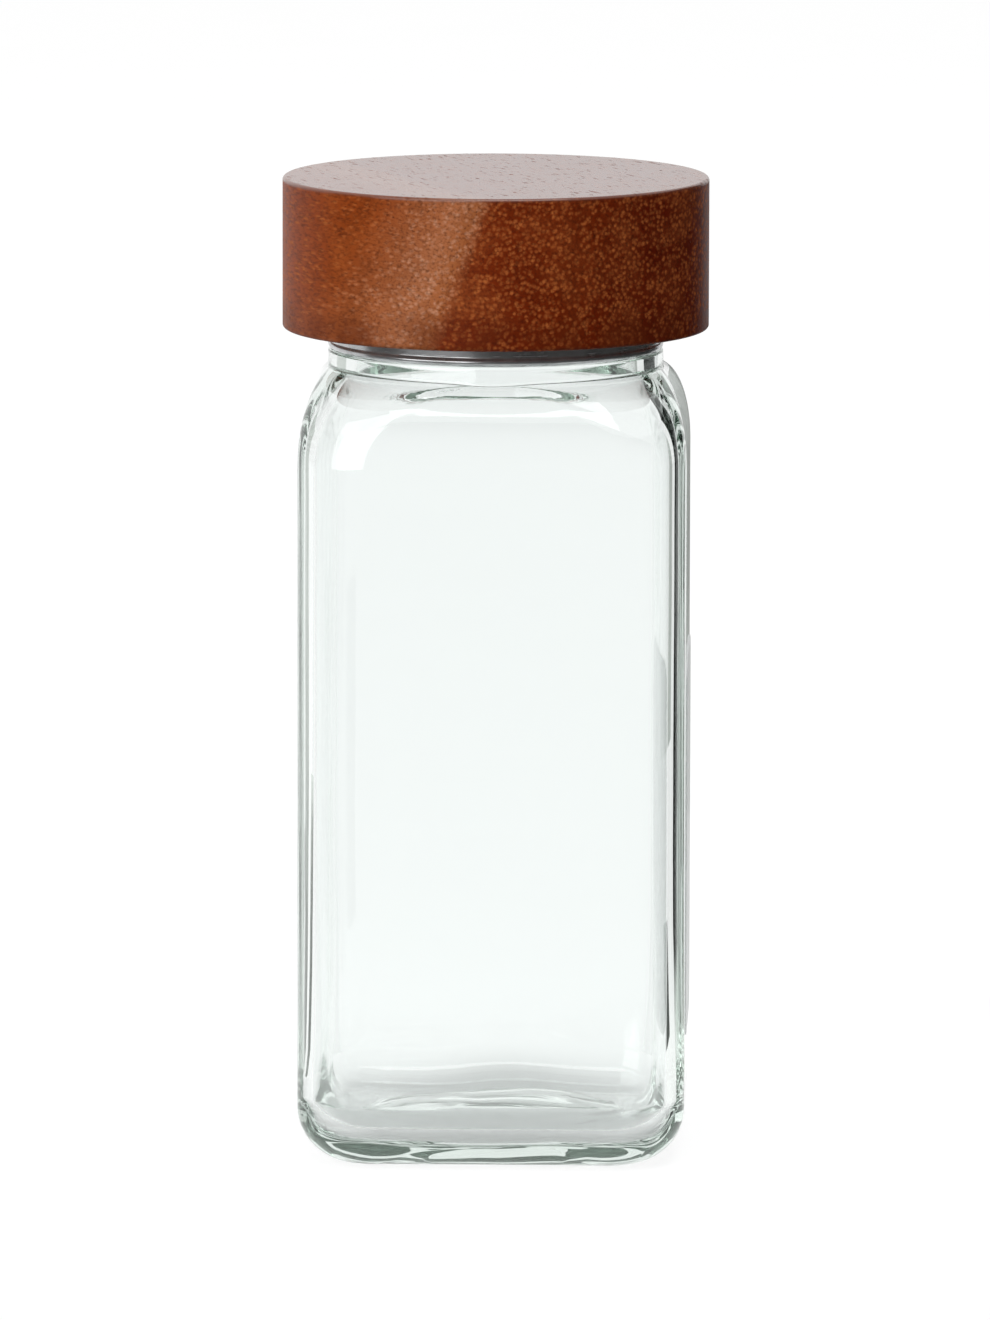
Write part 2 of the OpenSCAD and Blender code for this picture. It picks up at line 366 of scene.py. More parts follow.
@dataclass(frozen=True)
class TurnedWood:
    """Oiled red-brown hardwood, cut with its fibres level.

    The fibres point towards fibre_turn. There the lid shows end grain with round pores, and a
    quarter turn away it shows side grain with long ones. A pale streak slants across the front:
    partly the wood's figure and partly a painted sheen. From that flank the colour darkens to the
    other, partly as painted shade. The top is buffed to a gloss, and the side is left satin.
    """

    fibre_turn: float = math.radians(25.0)
    slant: float = 0.31
    streak_z: float = 0.114
    flank: float = 0.026
    stretch: float = 0.25
    wander: float = 0.0022
    drift_scale: float = 55.0
    pore_wander: float = 0.0006
    pore_shake: float = 0.0003
    pore_scale: float = 1900.0
    open_scale: float = 1700.0
    band_scale: float = 420.0
    patch_scale: float = 180.0
    grain_scale: float = 3600.0
    dent_depth: float = 0.00005
    top_z: float = 0.1141
    top_fade: float = 0.0003
    side_coat: float = 0.04
    top_coat: float = 0.9
    open_coat: float = 0.25
    satin: Point = (0.45, 0.62)
    # Heights over which the side is painted darker towards the lower edge, as shade.
    low_shade_z: Point = (0.102, 0.098)
    umber: tuple = linear(44, 14, 5)
    amber: tuple = linear(172, 92, 44)
    straw: tuple = linear(192, 134, 102)
    painted_low_shade: tuple = linear(84, 28, 6)
    buffed: tuple = linear(92, 48, 32)
    # Colours across the lid: partly the wood's own figure, and partly painted light, a painted
    # sheen in the pale streak and painted shade on the darker flank.
    figure_and_painted_light: tuple = (
        (0.0, linear(138, 59, 16)),
        (0.10, linear(140, 62, 17)),
        (0.16, linear(158, 86, 46)),
        (0.225, linear(172, 104, 66)),
        (0.27, linear(162, 93, 52)),
        (0.30, linear(118, 42, 7)),
        (0.42, linear(108, 33, 3)),
        (0.55, linear(108, 34, 4)),
        (0.68, linear(98, 22, 0)),
        (1.0, linear(96, 24, 2)),
    )
    pore_thinning: tuple = greys((0.0, 0.16), (0.12, 0.12), (0.2, 0.05), (0.3, 0.0))
    straw_share: tuple = greys((0.1, 0.0), (0.2, 1.0), (0.27, 1.0), (0.3, 0.0))

    def grain_place(self, graph: Graph, wander: float) -> Socket:
        """Turns the place so that X runs along the fibres and Y across them.

        Args:
            graph: the material's graph.
            wander: how far the fibres stray, in metres.

        Returns:
            The turned place.
        """
        turn = (0.0, 0.0, math.pi / 2 - self.fibre_turn)
        inputs = {"Vector": object_place(graph), "Rotation": turn}
        turned = graph.add("ShaderNodeMapping", inputs, vector_type="POINT").outputs[0]
        inputs = {"Vector": turned, "Scale": self.drift_scale, "Detail": 2.0}
        drift = graph.add("ShaderNodeTexNoise", inputs).outputs["Color"]
        drift = graph.vector("SUBTRACT", drift, (0.5, 0.5, 0.5))
        return graph.vector("ADD", turned, graph.vector("MULTIPLY", drift, (0.0, wander, wander)))

    def across(self, graph: Graph, place: Socket) -> Socket:
        """Finds the place across the figure, with the slant of its layers.

        Args:
            graph: the material's graph.
            place: the place along and across the fibres.

        Returns:
            0 to 1 from one flank of the figure to the other.
        """
        _, side, height = graph.split(place)
        lean = graph.times(graph.minus(height, self.streak_z), self.slant)
        return graph.remap(graph.minus(side, lean), -self.flank, self.flank)

    def pores(self, graph: Graph, across: Socket) -> tuple[Socket, Socket]:
        """Makes the pores.

        Args:
            graph: the material's graph.
            across: the place across the figure.

        Returns:
            Masks of the filled pores, dense in the darker wood, and of the few open ones.
        """
        place = self.grain_place(graph, self.pore_wander)
        along = graph.vector("MULTIPLY", place, (self.stretch, 1.0, 1.0))
        shake = (0.0, self.pore_shake, self.pore_shake)
        shaken = graph.vector("MULTIPLY", graph.noise(along, 2600.0), shake)
        inputs = {"Vector": graph.vector("ADD", along, shaken), "Scale": self.pore_scale}
        away = graph.add("ShaderNodeTexVoronoi", inputs).outputs["Distance"]
        cloud = graph.noise(along, 700.0, 3.0, 0.6)
        thin = graph.ramp(across, self.pore_thinning)
        size = graph.minus(graph.remap(cloud, 0.3, 0.7, 0.3, 0.55), thin)
        filled = graph.remap(graph.minus(away, size), 0.26, -0.3, smooth=True)
        strength = graph.remap(graph.noise(along, 1300.0), 0.35, 0.65, 0.35, 1.0)
        other = graph.vector("ADD", along, (0.3, 0.1, 0.2))
        opened = graph.noise(other, self.open_scale, 2.0, 0.6)
        return graph.times(filled, strength), graph.remap(opened, 0.6, 0.7, smooth=True)

    def material(self) -> bpy.types.Material:
        """Makes the wood, with growth bands, cloudy patches, pores and the buffed top.

        Returns:
            The material.
        """
        made, graph, shader = new_material("lid_wood", Coat_Roughness=0.2, Specular_IOR_Level=0.06)
        place = self.grain_place(graph, self.wander)
        bands, grain = (
            graph.noise(graph.vector("MULTIPLY", place, shape), scale, detail, 0.6)
            for shape, scale, detail in (
                ((0.02, 1.0, 0.35), self.band_scale, 4.0),
                ((self.stretch, 1.0, 1.0), self.grain_scale, 2.0),
            )
        )
        patch = graph.noise(place, self.patch_scale, 3.0)
        across = self.across(graph, place)
        filled, opened = self.pores(graph, across)
        straw = graph.mix(graph.ramp(across, self.straw_share), self.amber, self.straw)
        height = graph.split(object_place(graph))[2]
        # Painted shade: the side is painted darker towards the lid's lower edge, in cloudy patches.
        low = graph.remap(height, *self.low_shade_z, smooth=True)
        top = graph.remap(height, self.top_z, self.top_z + self.top_fade)
        layers = (
            (graph.remap(bands, 0.42, 0.75, 0.0, 0.22), self.umber),
            (graph.remap(patch, 0.45, 0.8, 0.0, 0.3), self.amber),
            (filled, straw),
            (graph.times(opened, 0.3), self.umber),
            (graph.remap(grain, 0.45, 0.7, 0.0, 0.5), self.umber),
            (graph.times(low, graph.remap(patch, 0.35, 0.55, 0.2, 0.6)), self.painted_low_shade),
            (graph.times(top, 0.75), self.buffed),
        )
        # Base colour across the lid, with painted sheen and painted shade in it besides the figure.
        colour = graph.ramp(across, self.figure_and_painted_light)
        for share, layer in layers:
            colour = graph.mix(share, colour, layer)
        coat = graph.remap(top, 0.0, 1.0, self.side_coat, self.top_coat)
        dents = graph.minus(bands, graph.plus(filled, opened))
        graph.feed(shader, {
            "Base Color": colour,
            "Coat Weight": graph.times(coat, graph.remap(opened, 0.0, 1.0, 1.0, self.open_coat)),
            "Roughness": graph.remap(graph.plus(patch, filled), 0.4, 1.4, *self.satin),
            "Normal": graph.bump(dents, 0.4, self.dent_depth),
        })
        return made


# Meshes


def add_object(name: str, data: bpy.types.ID) -> bpy.types.Object:
    """Links a new object with this mesh, light or camera at the origin.

    Args:
        name: the object's name.
        data: what the object shows.

    Returns:
        The object.
    """
    made = bpy.data.objects.new(name, data)
    bpy.context.scene.collection.objects.link(made)
    return made


def new_mesh(name: str, points: list, edges: Iterable = (), faces: Iterable = ()) -> bpy.types.Mesh:
    """Makes a mesh.

    Args:
        name: the mesh's name.
        points: places in metres.
        edges: pairs of point numbers.
        faces: rows of point numbers.

    Returns:
        The mesh.
    """
    mesh = bpy.data.meshes.new(name)
    mesh.from_pydata(points, edges, faces)
    return mesh


def band_faces(rings: int, around: int, closed: bool = True) -> list[tuple[int, ...]]:
    """Lists the faces between each ring of points and the next.

    Args:
        rings: how many rings there are.
        around: how many points each ring has.
        closed: whether a ring's last point joins its first.

    Returns:
        Four point numbers for each face.
    """
    return [
        (low + j, low + (j + 1) % around, low + around + (j + 1) % around, low + around + j)
        for low in range(0, (rings - 1) * around, around)
        for j in range(around if closed else around - 1)
    ]


def face_outwards(mesh: bpy.types.Mesh) -> None:
    """Turns a closed mesh's faces outwards if they point in.

    Args:
        mesh: the mesh.
    """
    mesh.calc_loop_triangles()
    points = np.zeros(len(mesh.vertices) * 3)
    mesh.vertices.foreach_get("co", points)
    corners = np.zeros(len(mesh.loop_triangles) * 3, int)
    mesh.loop_triangles.foreach_get("vertices", corners)
    a, b, c = points.reshape(-1, 3)[corners.reshape(-1, 3)].transpose(1, 0, 2)
    if (a * np.cross(b, c)).sum() < 0:
        mesh.flip_normals()


def closed_skin(name: str, rings: np.ndarray) -> bpy.types.Object:
    """Skins rings of points from pole to pole.

    Args:
        name: the object's name.
        rings: array of (ring, point, xyz) in millimetres, first and last ring close to the axis.

    Returns:
        An object with one closed smooth mesh in metres.
    """
    count, around = rings.shape[:2]
    poles = rings[[0, -1]].mean(axis=1)
    points = np.vstack([rings.reshape(-1, 3), poles]) * MM
    faces = band_faces(count, around)
    first, last, top = count * around, count * around + 1, (count - 1) * around
    for j in range(around):
        k = (j + 1) % around
        faces += [(first, k, j), (last, top + j, top + k)]
    mesh = new_mesh(name, points.tolist(), faces=faces)
    mesh.shade_smooth()
    face_outwards(mesh)
    return add_object(name, mesh)


def arc(centre: Point, radius: float, start: float, end: float, steps: int = 8) -> list[Point]:
    """Returns points on an arc from start to end, both in degrees and both kept."""
    turns = [math.radians(start + (end - start) * i / steps) for i in range(steps + 1)]
    return [(centre[0] + radius * math.cos(t), centre[1] + radius * math.sin(t)) for t in turns]


def ease(corners: list[Point], longest: float = 0.0, margin: float = 0.2) -> list[Point]:
    """Adds points near the ends of long straight runs, so that smooth shading stays flat on them.

    Args:
        corners: the section's points in order.
        longest: the longest step left between two points, or 0 for no limit.
        margin: how far from each end the added points are.

    Returns:
        The section with the added points.
    """
    made = [corners[0]]
    for (x0, z0), (x1, z1) in zip(corners, corners[1:]):
        length = math.hypot(x1 - x0, z1 - z0)
        shares = []
        if length > 3 * margin:
            shares = [margin / length, 1 - margin / length]
            if longest and length > longest:
                n = math.ceil(length / longest)
                shares = sorted(shares + [i / n for i in range(1, n)])
        made += [(x0 + (x1 - x0) * s, z0 + (z1 - z0) * s) for s in shares]
        made.append((x1, z1))
    return made


# Geometry nodes: the lathe and the thread

LATHE = "turned_piece"
THREAD = "screw_thread"
# Radius of the circle that guides the lathe, which leaves no mark on the piece
GUIDE_R = 10 * MM
# How near two points are when the seam of a turned piece joins them
SEAM = 0.000001


def new_tree(
    name: str, inputs: dict[str, str]
) -> tuple[bpy.types.NodeTree, Graph, bpy.types.NodeOutputs]:
    """Starts a geometry tree.

    Args:
        name: the tree's name.
        inputs: socket kinds (Float, Int, Material) by the input's name, after the geometry.

    Returns:
        The tree, a graph on it, and the outputs of its input node.
    """
    tree = bpy.data.node_groups.new(name, "GeometryNodeTree")
    for way in ("INPUT", "OUTPUT"):
        tree.interface.new_socket("Geometry", in_out=way, socket_type="NodeSocketGeometry")
    for label, kind in inputs.items():
        tree.interface.new_socket(label, in_out="INPUT", socket_type=f"NodeSocket{kind}")
    graph = Graph(tree)
    return tree, graph, graph.add("NodeGroupInput").outputs


def end_tree(graph: Graph, geometry: Socket, material: Socket) -> None:
    """Ends a tree in Realize Instances and Set Material.

    Args:
        graph: the graph on the tree.
        geometry: what the tree has made.
        material: the finish that it gets.
    """
    whole = graph.add("GeometryNodeRealizeInstances", {0: geometry}).outputs[0]
    inputs = {"Geometry": whole, "Material": material}
    dressed = graph.add("GeometryNodeSetMaterial", inputs).outputs[0]
    graph.add("NodeGroupOutput", {0: dressed})


def turned_tree() -> bpy.types.NodeTree:
    """Builds the lathe: a half section in XZ, drawn from axis to axis, is turned once round Z.

    Returns:
        The tree.
    """
    inputs = {"Guide Radius": "Float", "Steps Around": "Int", "Material": "Material"}
    tree, graph, given = new_tree(LATHE, inputs)
    section = graph.add("GeometryNodeMeshToCurve", {0: given["Geometry"]}).outputs[0]
    inward = graph.join(graph.times(given["Guide Radius"], -1.0), 0.0, 0.0)
    inputs = {"Geometry": section, "Translation": inward, "Rotation": (math.pi / 2, 0.0, 0.0)}
    profile = graph.add("GeometryNodeTransform", inputs).outputs[0]
    inputs = {"Radius": given["Guide Radius"], "Resolution": given["Steps Around"]}
    guide = graph.add("GeometryNodeCurvePrimitiveCircle", inputs).outputs[0]
    inputs = {"Curve": guide, "Profile Curve": profile}
    turned = graph.add("GeometryNodeCurveToMesh", inputs).outputs[0]
    inputs = {"Geometry": turned, "Distance": SEAM}
    closed = graph.add("GeometryNodeMergeByDistance", inputs).outputs[0]
    inputs = {"Geometry": closed, "Shade Smooth": True}
    smooth = graph.add("GeometryNodeSetShadeSmooth", inputs).outputs[0]
    end_tree(graph, smooth, given["Material"])
    return tree


def thread_tree() -> bpy.types.NodeTree:
    """Builds the thread: a rib climbs round Z on the skin that lies between two radii.

    Returns:
        The tree.
    """
    floats = (
        "Inner Radius", "Outer Radius", "Start Height", "Pitch", "Turns",
        "Width", "Rise", "Run Out",
    )
    inputs = {**dict.fromkeys(floats, "Float"), "Material": "Material"}
    tree, graph, given = new_tree(THREAD, inputs)
    x, y, z = graph.split(graph.add("GeometryNodeInputPosition").outputs[0])
    reach = graph.reach(x, y)
    share = graph.math("FRACT", graph.over(graph.math("ARCTAN2", y, x), math.tau))
    climbed = graph.over(graph.minus(z, given["Start Height"]), given["Pitch"])
    turn = graph.plus(graph.math("ROUND", graph.minus(climbed, share)), share)
    away = graph.math("ABSOLUTE", graph.times(graph.minus(climbed, turn), given["Pitch"]))
    across = graph.over(away, graph.times(given["Width"], 0.5))
    crest = graph.remap(across, 1.1, 0.25, smooth=True)
    to_end = graph.math("MINIMUM", turn, graph.minus(given["Turns"], turn))
    fade = graph.math("DIVIDE", graph.plus(to_end, 0.01), given["Run Out"], clamp=True)
    fade = graph.remap(fade, 0.0, 1.0, smooth=True)
    low = graph.math("GREATER_THAN", reach, given["Inner Radius"])
    high = graph.math("LESS_THAN", reach, given["Outer Radius"])
    lift = graph.times(graph.times(crest, fade), given["Rise"])
    lift = graph.over(graph.times(lift, graph.times(low, high)), reach)
    offset = graph.join(graph.times(x, lift), graph.times(y, lift), 0.0)
    inputs = {"Geometry": given["Geometry"], "Offset": offset}
    moved = graph.add("GeometryNodeSetPosition", inputs).outputs[0]
    end_tree(graph, moved, given["Material"])
    return tree


def run_tree(piece: bpy.types.Object, tree: bpy.types.NodeTree, values: dict[str, object]) -> None:
    """Runs a geometry tree on a piece and keeps the result as its plain mesh.

    Args:
        piece: the object whose mesh is replaced.
        tree: the tree to run.
        values: what its named inputs are set to.
    """
    modifier = piece.modifiers.new(tree.name, "NODES")
    modifier.node_group = tree
    names = {s.name: s.identifier for s in tree.interface.items_tree if s.in_out == "INPUT"}
    for label, value in values.items():
        modifier[names[label]] = value
    evaluated = piece.evaluated_get(bpy.context.evaluated_depsgraph_get())
    mesh = bpy.data.meshes.new_from_object(evaluated)
    piece.modifiers.remove(modifier)
    mesh.name = piece.name
    piece.data = mesh
    face_outwards(mesh)


def turn_section(
    name: str, section: list[Point], material: bpy.types.Material, around: int = 160
) -> bpy.types.Object:
    """Turns a half section on the lathe.

    Args:
        name: the piece's name.
        section: (radius, height) points in millimetres, from axis to axis.
        material: the piece's finish.
        around: steps in one turn.

    Returns:
        The turned piece.
    """
    points = [(r * MM, 0.0, z * MM) for r, z in section]
    edges = [(i, i + 1) for i in range(len(points) - 1)]
    piece = add_object(name, new_mesh(name, points, edges))
    values = {"Guide Radius": GUIDE_R, "Steps Around": around, "Material": material}
    run_tree(piece, bpy.data.node_groups.get(LATHE) or turned_tree(), values)
    return piece


@dataclass(frozen=True)
class ScrewThread:
    """One rib of a thread, with the size of its helix in millimetres and its ends in turns."""

    start_z: float
    turns: float
    width: float
    rise: float
    pitch: float = 4.23
    run_out: float = 0.125

    def cut(
        self, piece: bpy.types.Object, wall: Point, skin: Point, material: bpy.types.Material
    ) -> None:
        """Raises the rib on the part of a piece's skin that lies between two radii.

        Args:
            piece: the piece.
            wall: the inner and outer radius of the wall that carries the thread.
            skin: what is added to each, so that the wall's own skin lies between them.
            material: the piece's finish.
        """
        inner, outer = (r + more for r, more in zip(wall, skin))
        sizes = {
            "Inner Radius": inner, "Outer Radius": outer, "Start Height": self.start_z,
            "Pitch": self.pitch, "Width": self.width, "Rise": self.rise,
        }
        values = {label: size * MM for label, size in sizes.items()}
        values |= {"Turns": self.turns, "Run Out": self.run_out, "Material": material}
        run_tree(piece, bpy.data.node_groups.get(THREAD) or thread_tree(), values)


# The pieces


class Body(Enum):
    """The bodies of the frame."""

    JAR = "jar"
    SEAL = "seal"
    LID = "lid"


def hand_over(piece: bpy.types.Object, node: str, body: Body) -> None:
    """Puts a finished piece in its node's place and reports it.

    Args:
        piece: the piece.
        node: the CAD node that it replaces.
        body: the body that it rides on.
    """
    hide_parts(node)
    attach(piece, body.value)
    size = " x ".join(f"{(high - low) / MM:.1f}" for low, high in zip(*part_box(node)))
    faces = len(piece.data.polygons)
    log.info("%s: %d faces on body %s, node of %s mm", piece.name, faces, body.value, size)


FLAT_STEPS = 8
CORNER_STEPS = 32
AROUND = 4 * (FLAT_STEPS + CORNER_STEPS)
EVEN = np.arange(AROUND) * math.tau / AROUND
ROOT_2 = math.sqrt(2)


def corner_angles(half: float, corner: float, roundness: float) -> np.ndarray:
    """Spreads a ring's points: mostly round the corners of a square, and evenly round a circle.

    Args:
        half: half the width of the rounded square.
        corner: the radius of its corners.
        roundness: 0 for points set by the corners, 1 for even ones.

    Returns:
        The points' angles, from the middle of the +X side.
    """
    flat = half - corner
    side = [math.atan2(flat * i * 2 / FLAT_STEPS, half) for i in range(FLAT_STEPS // 2 + 1)]
    turn = [math.pi / 2 * i / CORNER_STEPS for i in range(CORNER_STEPS)]
    bend = [math.atan2(flat + corner * math.sin(t), flat + corner * math.cos(t)) for t in turn]
    last = [math.pi / 2 - angle for angle in side[:0:-1]]
    quarter = np.array(side[:-1] + bend + last)
    spread = np.concatenate([quarter + k * math.pi / 2 for k in range(4)])
    return (1 - roundness) * spread + roundness * np.arange(AROUND) * math.tau / AROUND


def square_reach(angles: np.ndarray, half: np.ndarray, corner: np.ndarray) -> np.ndarray:
    """Finds how far a rounded square's edge is from its middle.

    Args:
        angles: the angles to look along.
        half: half the width of the rounded square.
        corner: the radius of its corners.

    Returns:
        The distance at each angle.
    """
    quarter = math.pi / 2
    folded = np.abs(np.mod(angles + quarter / 2, quarter) - quarter / 2)
    middle = half - corner
    both = np.cos(folded) + np.sin(folded)
    inside = np.maximum((middle * both) ** 2 - 2 * middle**2 + corner**2, 0.0)
    on_flat = folded <= np.arctan2(middle, half)
    return np.where(on_flat, half / np.cos(folded), middle * both + np.sqrt(inside))


def ring_at(angles: np.ndarray, reach: np.ndarray | float, z: np.ndarray | float) -> np.ndarray:
    """Returns one ring of points, with one reach and height or one for each angle."""
    reach, z = (np.broadcast_to(v, angles.shape) for v in (reach, z))
    return np.stack([reach * np.cos(angles), reach * np.sin(angles), z], axis=1)


def square_ring(half: float, corner: float, z: float) -> np.ndarray:
    """Returns one level ring of points round a rounded square."""
    angles = corner_angles(half, corner, 0.0)
    return ring_at(angles, square_reach(angles, half, corner), z)


def round_rings(section: list[Point]) -> list[np.ndarray]:
    """Returns level circles through a section of (radius, height)."""
    return [ring_at(EVEN, r, z) for r, z in section]


def between(start: np.ndarray, end: np.ndarray, steps: int) -> list[np.ndarray]:
    """Returns the rings strictly between two rings."""
    return [start + (end - start) * i / steps for i in range(1, steps)]


@dataclass
class Shoulder:
    """A skin that turns a rounded square into a circle, on quarters of ellipses.

    One ellipse goes up the middle of each side and another up each corner. The skin ends where
    it meets an upright round wall.
    """

    half: float
    corner: float
    top_r: float
    meet_r: float
    base_z: float
    height: float
    steps: int = 30
    last_climb: float = math.radians(82.0)
    halvings: int = 40

    def section(self, climb: np.ndarray) -> tuple[np.ndarray, np.ndarray]:
        """Cuts the skin level.

        Args:
            climb: the angles that the skin has climbed by.

        Returns:
            Half the width and the corner radius of each cut.
        """
        diagonal = self.half * ROOT_2 - self.corner * (ROOT_2 - 1)
        side = self.top_r + (self.half - self.top_r) * np.cos(climb)
        reach = self.top_r + (diagonal - self.top_r) * np.cos(climb)
        corner = np.minimum((side * ROOT_2 - reach) / (ROOT_2 - 1), side - 0.01)
        return side, corner

    def meeting(self, angles: np.ndarray) -> np.ndarray:
        """Finds where the skin meets the round wall.

        Args:
            angles: the angles to look along.

        Returns:
            The climb at which it does, at each angle.
        """
        low, high = np.zeros_like(angles), np.full_like(angles, math.pi / 2)
        for _ in range(self.halvings):
            middle = (low + high) / 2
            outside = square_reach(angles, *self.section(middle)) > self.meet_r
            low, high = np.where(outside, middle, low), np.where(outside, high, middle)
        return low

    def rings(self) -> list[np.ndarray]:
        """Makes the rings from the flat sides up to the round wall.

        Returns:
            The rings.
        """
        made = []
        for i in range(self.steps + 1):
            share = i / self.steps
            half, corner = self.section(np.array([share * self.last_climb]))
            angles = corner_angles(float(half[0]), float(corner[0]), share**2 * (3 - 2 * share))
            climb = self.meeting(angles) * share
            reach = square_reach(angles, *self.section(climb))
            made.append(ring_at(angles, reach, self.base_z + self.height * np.sin(climb)))
        return made


@dataclass
class GlassJar:
    """The glass: one closed skin from the middle of the base, over the rim, to the floor's middle.

    The hollow under the base and the crown of the floor are domes of one radius. The wave fields
    say how far, how high up and how coarsely the inner skin strays.
    """

    half: float = 22.7
    corner: float = 9.0
    heel: float = 6.5
    wall: float = 2.0
    floor_t: float = 3.6
    inner_heel: float = 4.2
    least_corner: float = 0.2
    hollow_r: float = 15.0
    hollow_h: float = 1.6
    crown_h: float = 0.9
    dome_shares: tuple = (0.03, 0.1, 0.2, 0.32, 0.45, 0.58, 0.7, 0.81, 0.9, 0.96, 1.0)
    side_top: float = 82.0
    shoulder_h: float = 10.6
    tuck: float = 1.15
    throat_r: float = 16.4
    throat_tuck: float = 1.5
    throat_bend: float = 0.6
    inner_corner: float = 6.6
    inner_shoulder_h: float = 9.35
    collar_r: float = 19.655
    collar_top: float = 94.4
    collar_edge: float = 0.3
    neck_r: float = 17.4
    neck_root: float = 0.5
    mouth_r: float = 15.2
    rim_z: float = 106.35
    rim_r: float = 0.7
    neck_step: float = 0.2
    side_step: float = 3.0
    wave: float = 0.05
    wave_z: float = 90.0
    wave_fade: float = 12.0
    wave_size: float = 17.0
    heel_wave: float = 0.16
    heel_wave_z: float = 16.0
    heel_wave_fade: float = 10.0
    heel_wave_size: float = 8.5
    heel_wave_shift: tuple = (9.0, 0.0, 0.0)
    thread: ScrewThread = ScrewThread(start_z=98.2, turns=1.25, width=2.3, rise=0.95)
    thread_skin: Point = (-0.6, 0.3)
    finish: ClearGlass = ClearGlass()

    def dome(self, height: float, base_z: float) -> list[np.ndarray]:
        """Makes the rings of a shallow dome, from near its middle to its edge.

        Args:
            height: the height of its middle above its edge.
            base_z: the height of its edge.

        Returns:
            The rings.
        """
        ball = (self.hollow_r**2 + height**2) / (2 * height)
        reaches = [self.hollow_r * share for share in self.dome_shares]
        return round_rings([
            (r, base_z + height - ball + math.sqrt(ball**2 - r**2)) for r in reaches
        ])

    def heel_rings(
        self, half: float, corner: float, heel: float, base_z: float, steps: int = 18
    ) -> list[np.ndarray]:
        """Makes the rings of a heel, from its flat foot up to the sides.

        Args:
            half: half the width of the sides.
            corner: the radius of their corners.
            heel: the radius of the heel.
            base_z: the height of the foot.
            steps: steps from the foot to the sides.

        Returns:
            The rings.
        """
        made = []
        for i in range(steps + 1):
            turn = math.pi / 2 * i / steps
            inset = heel * (1 - math.sin(turn))
            bend = max(corner - inset, self.least_corner)
            made.append(square_ring(half - inset, bend, base_z + heel * (1 - math.cos(turn))))
        return made

    def sides(self, half: float, corner: float, low: float, high: float) -> list[np.ndarray]:
        """Returns the rings of the upright sides, without the first and the last."""
        ends = [square_ring(half, corner, z) for z in (low, high)]
        return between(*ends, math.ceil((high - low) / self.side_step))

    def outside(self) -> list[np.ndarray]:
        """Makes the rings from the middle of the base up to the rim's outer edge.

        Returns:
            The rings.
        """
        hollow = self.dome(self.hollow_h, 0.0)
        heel = self.heel_rings(self.half, self.corner, self.heel, 0.0)
        foot = between(hollow[-1], heel[0], 4)
        sides = self.sides(self.half, self.corner, self.heel, self.side_top)
        shoulder = Shoulder(
            self.half, self.corner, self.collar_r - self.tuck, self.collar_r,
            self.side_top, self.shoulder_h,
        ).rings()
        edge, root, rim_r = self.collar_edge, self.neck_root, self.rim_r
        collar = arc((self.collar_r - edge, self.collar_top - edge), edge, 0, 90, 6)
        collar += arc((self.neck_r + root, self.collar_top + root), root, 270, 180, 6)
        low, high = self.collar_top + root, self.rim_z - rim_r
        neck = ease([(self.neck_r, low), (self.neck_r, high)], self.neck_step)[1:-1]
        rim = arc((self.neck_r - rim_r, high), rim_r, 0, 90)
        upper = round_rings(collar + neck + rim)
        wall = between(shoulder[-1], upper[0], 5)
        return [*hollow, *foot, *heel, *sides, *shoulder, *wall, *upper]

    def inside(self) -> list[np.ndarray]:
        """Makes the rings from the rim's inner edge down to the middle of the floor.

        Returns:
            The rings.
        """
        centre = (self.mouth_r + self.rim_r, self.rim_z - self.rim_r)
        rim = round_rings(arc(centre, self.rim_r, 90, 180))
        half, corner = self.half - self.wall, self.inner_corner
        meet_r = self.throat_r + self.throat_bend
        shoulder = Shoulder(
            half, corner, meet_r - self.throat_tuck, meet_r, self.side_top, self.inner_shoulder_h
        ).rings()[::-1]
        low_z = float(shoulder[0][:, 2].mean())
        centre = (meet_r, low_z + self.throat_bend)
        bend = round_rings(arc(centre, self.throat_bend, 180, 270, 12))
        bore = [*between(rim[-1], bend[0], 12), *bend[:-1]]
        heel = self.heel_rings(half, corner, self.inner_heel, self.floor_t)[::-1]
        sides = self.sides(half, corner, self.floor_t + self.inner_heel, self.side_top)[::-1]
        crown = self.dome(self.crown_h, self.floor_t)[::-1]
        foot = between(heel[-1], crown[0], 5)
        inner = np.array([*bore, *shoulder, *sides, *heel, *foot, *crown])
        return [*rim, *self.uneven(inner)]

    def uneven(self, rings: np.ndarray) -> np.ndarray:
        """Moves the inner skin slightly, as in real glass, most low down and least at the neck.

        Args:
            rings: array of (ring, point, xyz).

        Returns:
            The moved rings.
        """
        flat = rings.reshape(-1, 3)
        height = flat[:, 2]
        low = np.clip((self.heel_wave_z - height) / self.heel_wave_fade, 0.0, 1.0)
        high = np.clip((self.wave_z - height) / self.wave_fade, 0.0, 1.0)
        shift = Vector(self.heel_wave_shift)
        slow = np.array([noise.noise(Vector(p) / self.wave_size) for p in flat])
        quick = np.array([noise.noise(Vector(p) / self.heel_wave_size + shift) for p in flat])
        push = high * (self.wave * 2 * slow + self.heel_wave * 2 * low * quick)
        reach = np.maximum(np.hypot(flat[:, 0], flat[:, 1]), 1e-6)
        out = np.clip((height - self.floor_t) / self.inner_heel, 0.0, 1.0)
        move = np.stack([flat[:, 0] / reach * out, flat[:, 1] / reach * out, out - 1.0], axis=1)
        return (flat + move * push[:, None]).reshape(rings.shape)

    def build(self) -> None:
        """Builds, threads and dresses the glass."""
        material = self.finish.material()
        piece = closed_skin("glass_jar_skin", np.array([*self.outside(), *self.inside()]))
        self.thread.cut(piece, (self.neck_r, self.neck_r), self.thread_skin, material)
        hand_over(piece, "glass_jar", Body.JAR)


